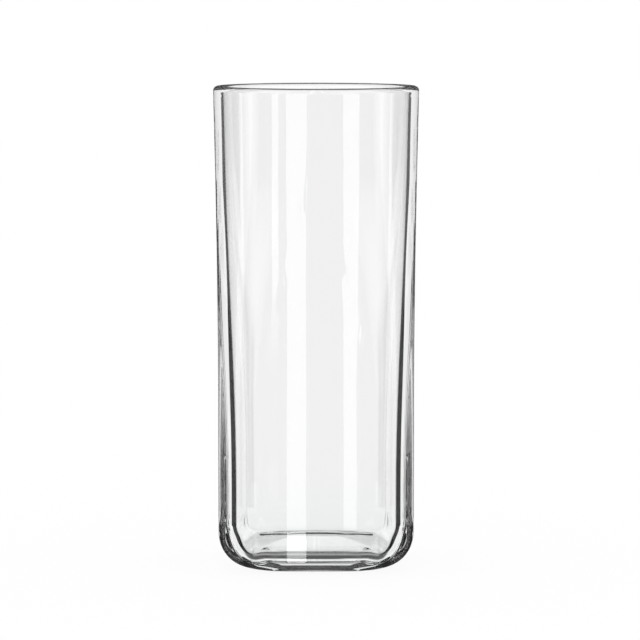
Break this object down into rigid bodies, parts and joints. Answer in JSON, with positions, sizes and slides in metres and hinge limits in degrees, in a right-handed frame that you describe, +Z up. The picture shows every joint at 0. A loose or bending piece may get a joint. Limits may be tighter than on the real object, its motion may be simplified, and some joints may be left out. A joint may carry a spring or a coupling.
{
  "type": "highball glass",
  "caption": "Tall clear glass tumbler for long drinks: square lower body with soft corners blending into a round fire-polished rim, on a thick rounded base hollowed underneath.",
  "frame": {"origin": "middle of the base, on the plane that the foot stands on", "axes": "+Z up along the axis of the glass to the mouth, -Y the flat side that faces the viewer, +X to the viewer's right"},
  "size_m": [0.0658, 0.0658, 0.1535],
  "materials": {
    "glass": "clear, smooth and fire-polished"
  },
  "bodies": {
    "root": {"rim": "glass", "wall": "glass", "base": "glass"}
  },
  "joints": []
}
